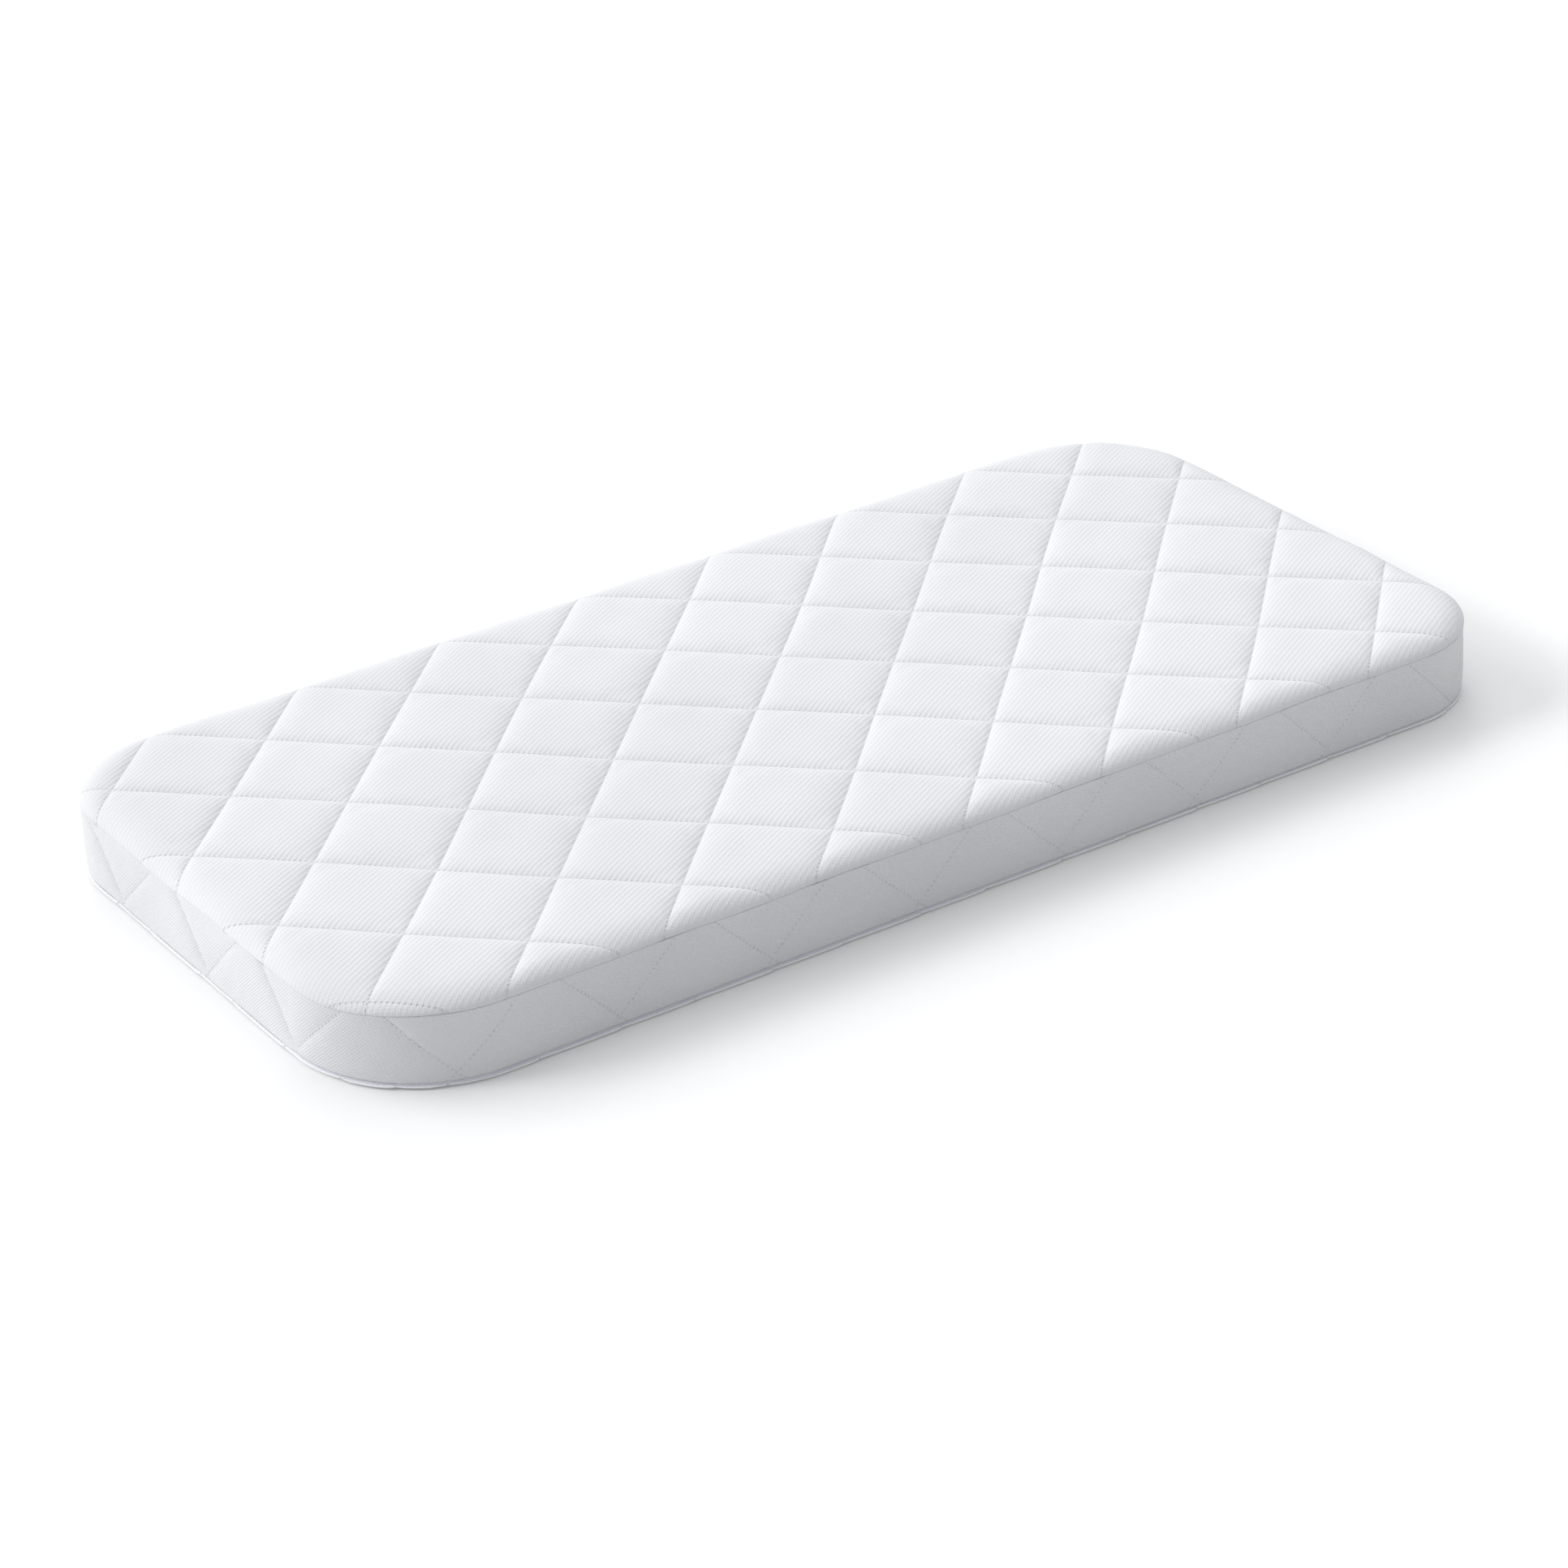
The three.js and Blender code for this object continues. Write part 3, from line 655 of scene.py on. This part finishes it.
def top_panel_face():
    x, y, faces, rim, rim_s = panel_grid(FINE, 3.0)
    steps = [2.2, 1.6, 1.15, 0.85, 0.65, 0.5, 0.4]
    d = np.concatenate([inset_of(x, y), np.repeat(steps, len(rim))])
    x, y, more, last = rim_rings(x, y, rim, rim_s, steps)
    z = top_height(x, y, d)
    turned_in = ((0.38, -0.08), (0.5, 0.1), (1.4, 0.25), (4.0, 0.2))  # inset, drop below the seam
    x, y, hem, _ = rim_rings(x, y, last, rim_s, [inset for inset, _ in turned_in])
    for inset, drop in turned_in:
        z = np.append(z, SEAM_Z + seam_wave(rim_s) - drop)
        d = np.append(d, np.full(len(rim), inset))
    a, b = lines_at(x, y)
    s = nearest_s(x, y)
    _, n = outline(s, 0)
    pull = 0.2 * seam_notch(s) * (1 - smooth(d, 1, 7))
    verts = np.column_stack([x - n[:, 0] * pull, y - n[:, 1] * pull, z])
    # The crease attribute sets how strong the painted shade in the stitched grooves is.
    return new_mesh("top_panel_face", verts, faces + more + hem, KNIT,
                    {"knit_u": x, "knit_v": y, "line_a": a, "line_b": b,
                     "edge": 1 - smooth(d, 6, 26), "crease": np.full(len(x), 0.6)})


def panel_fill(name, far, stop, depth, height_at):
    """Wadding: a closed body that follows the face at a depth, with a flat far side."""
    x, y, faces, rim, rim_s = panel_grid(COARSE, stop)
    d = inset_of(x, y)
    n, m = len(x), len(rim)
    upper = np.column_stack([x, y, height_at(x, y, d) + depth])
    lower = np.column_stack([x, y, np.full(n, far)])
    nxt = np.roll(np.arange(m), -1)
    sides = np.stack([rim, rim + n, rim[nxt] + n, rim[nxt]], -1).tolist()
    under = [[v + n for v in reversed(f)] for f in faces]
    return new_mesh(name, np.concatenate([upper, lower]), faces + under + sides, WADDING)


CLOTH_RISE = cloth_rise()
top_face = top_panel_face()
top_fill = panel_fill("top_panel_fill", 48.5, 6.0, -1.3, top_height)


# ---- border ------------------------------------------------------------------------------------
def round_border(step):
    """Stations round the border from its join and back to it."""
    return np.linspace(BORDER_JOIN - PERIMETER, BORDER_JOIN, int(PERIMETER / step) + 1)


ROW, FILL_STEP = 1.25, 2.5  # steps along the border of its face's mesh and of its wadding's
border_s = round_border(ROW)
BORDER_BOW = waves(11, 6, 60, 180)
BORDER_LUMPS = waves(12, 9, 14, 40)


def zipped_at(s):
    """1 where the zip runs, 0 where the border is sewn down."""
    return smooth(s, ZIP_FROM - 4, ZIP_FROM) * (1 - smooth(s, ZIP_TO, ZIP_TO + 4))


def zip_forward(s):
    """1 where the closed zip lies near the outline, 0 where it is set back for the slider."""
    return 1 - smooth(s, STARTS[2] - 8, STARTS[2] + 17)


def border_low(s):
    """Level of the border's lower edge, which hides more of the zip further along the near side."""
    over_zip = BORDER_OVER_ZIP - BORDER_OVER_ZIP_FAR * smooth(s, 200, 550)
    over_zip = BORDER_OVER_SLIDER + (over_zip - BORDER_OVER_SLIDER) * zip_forward(s)
    return BORDER_LOW + (over_zip - BORDER_LOW) * zipped_at(s)


def border_lines(s, z):
    """The border's quilting coordinates: a zigzag of V's that lean over on the left end wall."""
    left = left_wall(s)
    rise = z - BORDER_V_Z + 3.5 * left
    s = s + 0.5 * ripple(s, z * 3, DRIFT_A) - 0.03 * np.minimum(s, 0) - BORDER_V_S
    return (s - rise * 1.04) / DIAGONAL, (s + rise * (1 - 0.2 * left)) / DIAGONAL


def border_inset(s, z):
    """How far inside the outline the border's face lies at distance s round it and height z."""
    a, b = border_lines(s, z)
    low = border_low(s)
    level = np.clip((z - low) / (BORDER_TOP - low), 0, 1)
    pinch = np.abs(2 * level - 1) ** 5
    to_join = np.minimum(np.abs(s - BORDER_JOIN), np.abs(s - BORDER_JOIN + PERIMETER))
    join = 1 - smooth(to_join, 0, 5)
    left = left_wall(s)
    shallow = BORDER_DIP * (1 - quilt(a, b) ** 0.7)
    deep = np.maximum(LEFT_STEEP_DIP * (1 - crease(b, *LEFT_STEEP_SLOPES)),
                      LEFT_LEVEL_DIP * (1 - crease(a, *LEFT_LEVEL_SLOPES)))
    sunk = shallow + (deep - shallow) * left
    bow = 0.35 * ripple(s, z, BORDER_BOW)
    small = 0.06 * ripple(s, z, BORDER_LUMPS) + 0.05 * puckers(a, b)
    notch = 0.2 * seam_notch(s) * smooth(level, 0.85, 1)
    edge = np.where(level > 0.5, -0.05, 0.5)
    kept = 1 - (0.75 + 0.2 * left) * pinch
    return (BORDER_OUT + edge * pinch + sunk * kept + 0.9 * join
            + (bow + small) * (1 - pinch) + notch)


def border_face():
    """The border's knit: rows from its hem, over the zip or sewn down, up to the top seam."""
    rows = []  # inset, height, and the height that the knit and its stitches are laid out by
    zipped = zipped_at(border_s)
    low = border_low(border_s)
    edge = border_inset(border_s, low)
    hem = [(1.3, 1.8), (1.0, 0.7), (0.55, -0.05), (0.15, 0.05)]  # inward and up, over the zip
    for i, (inward, rise) in enumerate(hem):
        share = i / len(hem)
        z_sewn = low + BORDER_HEM * share * (1 - zipped)
        d_sewn = border_inset(border_s, z_sewn) - 0.4 * (1 - share) + 0.9 * (i == 0)
        z = z_sewn * (1 - zipped) + (low + rise) * zipped
        d = d_sewn * (1 - zipped) + (edge + inward) * zipped
        rows.append((d, z, z_sewn))
    first = low + BORDER_HEM * (1 - zipped)
    last = BORDER_TOP + seam_wave(border_s)
    for share in np.linspace(0, 1, int((BORDER_TOP - BORDER_OVER_ZIP) / ROW) + 1):
        level = first + (last - 0.55 - first) * share
        rows.append((border_inset(border_s, level), level, level))
    last = last - 0.22 * (1 - left_wall(border_s))
    top = rows[-1][0] + 0.15
    rows.append((top, last, last))
    for inward, rise in ((0.25, 0.0), (0.5, -0.25), (1.2, -0.5), (4.0, -0.5)):
        rows.append((top + inward, last + rise, last))
    verts = [np.column_stack([outline(border_s, d)[0], z]) for d, z, _ in rows]
    u = np.tile(border_s, len(rows))
    v = np.concatenate([z_flat for _, _, z_flat in rows])
    a, b = border_lines(u, v)
    faces = grid_faces(len(rows), len(border_s))
    # The crease attribute sets the painted shade in the stitched grooves: faint on most of the border
    # and strong on its left end wall.
    return new_mesh("border_face", np.concatenate(verts), faces.tolist(), KNIT_EDGE,
                    {"knit_u": u, "knit_v": v, "line_a": a, "line_b": b,
                     "edge": np.ones(len(u)), "crease": 0.1 + 0.8 * left_wall(u)})


border = border_face()


def border_fill():
    """The border's wadding, close behind its face and clear of the zip."""
    s = round_border(FILL_STEP)[:-1]
    low = 3.5 + 9.8 * zipped_at(s)
    levels = [low + (BORDER_TOP - 0.8 - low) * t for t in np.linspace(0, 1, 15)]
    profile = []
    for z in levels:
        face = np.max([border_inset(s + step, z) for step in (-4, -2, 0, 2, 4)], 0)
        profile.append((np.minimum(face + FILL_GAP, FILL_DEEPEST), z))
    profile += [(FILL_BACK, levels[-1]), (FILL_BACK, levels[0])]
    verts, faces = swept(profile, s, True)
    return new_mesh("border_fill", verts, faces, WADDING)


side_fill = border_fill()


# ---- bottom panel ------------------------------------------------------------------------------
def under_lines(x, y):
    """The underside's quilting coordinates."""
    x = x + DRIFT * ripple(x, y, DRIFT_B)
    y = y + DRIFT * ripple(x, y, DRIFT_A)
    return (x - y + UNDER_STEEP) / DIAGONAL, (x + y + UNDER_LEVEL) / DIAGONAL


def under_height(x, y, d):
    """The underside: flat where it is pressed on the floor, lifted along its stitched lines."""
    a, b = under_lines(x, y)
    t = np.clip(1 - d / 8.0, 0, 1)
    lift = UNDER_LIFT * (1 - np.clip(quilt(a, b) / 0.6, 0, 1)) ** 1.4
    return UNDER_GAP + lift * (1 - 0.85 * t) + UNDER_EDGE * t ** 1.6


def bottom_panel_face():
    x, y, faces, rim, rim_s = panel_grid(MIDDLE, 6.0)
    steps = [5.0, 4.0, 3.0, 2.1, 1.4, 0.8, 0.4, 0.1]
    d = np.concatenate([inset_of(x, y), np.repeat(steps, len(rim))])
    x, y, more, last = rim_rings(x, y, rim, rim_s, steps)
    z = under_height(x, y, d)
    # the bound edge, and the allowance behind it: inset, height over the underside's own edge
    bound = ((-0.1, 0.15), (-0.2, 0.4), (-0.1, 0.65), (0.2, 0.75), (1.5, 0.8), (2.0, 0.5))
    start, m = len(x), len(rim)
    x, y, hem, _ = rim_rings(x, y, last, rim_s, [inset for inset, _ in bound])
    z = np.append(z, under_height(x[start:], y[start:], np.zeros(len(bound) * m))
                  + np.repeat([height for _, height in bound], m))
    d = np.append(d, np.repeat([inset for inset, _ in bound], m))
    a, b = under_lines(x, y)
    # the edge is drawn in where a stitched line meets it
    s = nearest_s(x, y)
    _, n = outline(s, 0)
    pull = 1.1 * (1 - crease(a, 16, 0.9) * crease(b, 16, 0.9)) * (1 - smooth(d, 0, 8))
    x, y = x - n[:, 0] * pull, y - n[:, 1] * pull
    turned = [list(reversed(f)) for f in faces + more + hem]
    # The crease attribute sets how strong the painted shade in the stitched grooves is.
    return new_mesh("bottom_panel_face", np.column_stack([x, y, z]), turned, KNIT_UNDER_HIGHLIGHT,
                    {"knit_u": x, "knit_v": y, "line_a": a, "line_b": b,
                     "edge": 1 - smooth(d, 6, 26), "crease": np.full(len(x), 0.6)})


bottom_face = bottom_panel_face()
bottom_fill = panel_fill("bottom_panel_fill", 3.6, 9.5, 0.9, under_height)

# ---- zip ---------------------------------------------------------------------------------------
zip_s = np.arange(ZIP_FROM - 6.0, ZIP_TO + 4.0, 2.0)
COIL_PITCH = 1.5            # from one nylon turn to the next
COIL_OUT, COIL_DOWN = 1.8, 1.0  # how far the chain is carried out and down away from the slider


def zip_section(back, front):
    """A zip section: set back beside the slider, and close behind the border's edge elsewhere."""
    forward = zip_forward(zip_s)
    edge = border_inset(zip_s, border_low(zip_s))
    return [(inset * (1 - forward) + (edge + behind) * forward, z * (1 - forward) + level * forward)
            for (inset, z), (behind, level) in zip(back, front)]


def tape(name, profile):
    verts, faces = swept(profile, zip_s, False)
    return new_mesh(name, verts, faces, TAPE, flat=True)


upper_tape = tape("zip_tape_upper", zip_section(
    [(3.55, 4.72), (3.5, 6.8), (3.3, 9.0), (2.9, 12.4),
     (3.3, 12.5), (3.7, 9.0), (3.9, 6.8), (3.95, 4.72)],
    [(0.35, 3.0), (0.45, 3.4), (1.6, 4.4), (1.9, 6.0),
     (2.3, 6.0), (2.0, 4.4), (0.85, 3.5), (0.75, 3.0)]))
lower_tape = tape("zip_tape_lower", zip_section(
    [(3.7, 1.5), (3.55, 4.5), (3.95, 4.5), (4.1, 1.95)],
    [(0.35, 1.7), (0.35, 2.85), (0.75, 2.85), (0.75, 2.1)]) + [(9.1, 1.9), (9.1, 1.4)])


def set_forward(profile, s):
    """The chain's section, carried outward and down with the tapes."""
    forward = zip_forward(s)
    return [(inset - COIL_OUT * forward, z - COIL_DOWN * forward) for inset, z in profile]


def coil(name, low, tip):
    """One side of the chain: a row of nylon turns on a cord. tip is the level its heads reach."""
    upward = tip > low
    count = int((ZIP_TO - ZIP_FROM) / COIL_PITCH)
    s = ZIP_FROM + COIL_PITCH * (np.arange(count) + (0.5 if upward else 0.0))
    root_z = low + (0.15 if upward else 1.05)
    path = [(4.95, root_z), (5.0, (root_z + tip) / 2), (4.8, tip), (4.5, tip),
            (4.25, (root_z + tip) / 2), (4.35, root_z)]
    verts, faces = [], []
    for s_i in s:
        base = len(verts)
        for inset, z in set_forward(path, s_i):
            for ds, dz in ((-0.42, -0.22), (0.42, -0.22), (0.42, 0.22), (-0.42, 0.22)):
                xy, _ = outline(np.array([s_i + ds]), inset)
                verts.append((xy[0, 0], xy[0, 1], z + dz))
        for k in range(len(path) - 1):
            a, b = base + 4 * k, base + 4 * k + 4
            for i in range(4):
                j = (i + 1) % 4
                faces.append((a + i, a + j, b + j, b + i))
        end = base + 4 * (len(path) - 1)
        faces.append((base + 3, base + 2, base + 1, base))
        faces.append((end, end + 1, end + 2, end + 3))
    cord_section = [(4.4, root_z - 0.1), (4.4, root_z + 0.35),
                    (4.8, root_z + 0.35), (4.8, root_z - 0.1)]
    cord, cord_faces = swept(set_forward(cord_section, zip_s), zip_s, False)
    base = len(verts)
    faces += [tuple(v + base for v in f) for f in cord_faces]
    return new_mesh(name, np.concatenate([np.array(verts), cord]), faces, COIL, flat=True)


lower_coil = coil("zip_teeth_lower", 2.9, 4.15)
upper_coil = coil("zip_teeth_upper", 5.1, 5.05)

# ---- pieces put on the mattress's body, and the parts they stand for hidden --------------------
for piece, nodes, slot in (
    (top_face, ["top_panel_face_fabric"], "knit"),
    (top_fill, ["top_panel_wadding"], "wadding"),
    (border, ["border_face_fabric"], "knit"),
    (side_fill, ["border_wadding"], "wadding"),
    (bottom_face, ["bottom_panel_face_fabric"], "knit"),
    (bottom_fill, ["bottom_panel_wadding"], "wadding"),
    (upper_tape, ["zip_upper_tape"], "tape"),
    (lower_tape, ["zip_lower_tape"], "tape"),
    (upper_coil, ["zip_upper_coil"], "coil"),
    (lower_coil, ["zip_lower_coil"], "coil"),
):
    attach(piece, "mattress")
    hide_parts(*nodes)

# ---- floor, light and camera -------------------------------------------------------------------
FLOOR = 20.0                # metres from the middle of the floor to its edge
floor_mesh = bpy.data.meshes.new("floor")
floor_mesh.from_pydata([(-FLOOR, -FLOOR, 0), (FLOOR, -FLOOR, 0), (FLOOR, FLOOR, 0), (-FLOOR, FLOOR, 0)],
                       [], [(0, 1, 2, 3)])
floor = bpy.data.objects.new("floor", floor_mesh)
bpy.context.scene.collection.objects.link(floor)
floor_paint = Nodes("floor_paper", roughness=1.0)
floor_paint.shader.inputs["Base Color"].default_value = (0.76, 0.76, 0.76, 1)
floor_paint.shader.inputs["Emission Color"].default_value = (1, 1, 1, 1)
floor_paint.shader.inputs["Emission Strength"].default_value = 0.06
floor_paint.shader.inputs["Specular IOR Level"].default_value = 0.0
floor.data.materials.append(floor_paint.material)

world = bpy.data.worlds.new("studio")
bpy.context.scene.world = world
world.use_nodes = True
world.node_tree.nodes["Background"].inputs["Color"].default_value = (0.97, 0.98, 1.0, 1)
world.node_tree.nodes["Background"].inputs["Strength"].default_value = 0.6


def soft_sun(name, azimuth, elevation, width, strength):
    """A large even light: width is the angle it fills in the sky."""
    light = bpy.data.lights.new(name, "SUN")
    light.angle = math.radians(width)
    light.energy = strength
    obj = bpy.data.objects.new(name, light)
    bpy.context.scene.collection.objects.link(obj)
    obj.rotation_euler = (0, math.radians(90 - elevation), math.radians(azimuth))


soft_sun("overhead", 60, 68, 60, 0.90)
soft_sun("key", 124, 26, 40, 1.50)
soft_sun("side", 152, 30, 20, 1.20)
soft_sun("back", 60, 30, 24, 0.50)

camera_data = bpy.data.cameras.new("camera")
camera_data.sensor_width = 36
camera_data.lens = 102.58
camera = bpy.data.objects.new("camera", camera_data)
bpy.context.scene.collection.objects.link(camera)
# its directions, and its place in metres, as fitted to the photo's stitched lines
right = (0.82550223, -0.56294978, -0.04041866)
up = (0.29489571, 0.36915269, 0.88134149)
back = (-0.48123034, -0.73946865, 0.47074782)
place = (-1.30129974, -1.99225735, 1.25905822)
rows = [[right[i], up[i], back[i], place[i]] for i in range(3)]
camera.matrix_world = Matrix(rows + [[0, 0, 0, 1]])
bpy.context.scene.camera = camera
bpy.context.scene.view_settings.view_transform = "Standard"
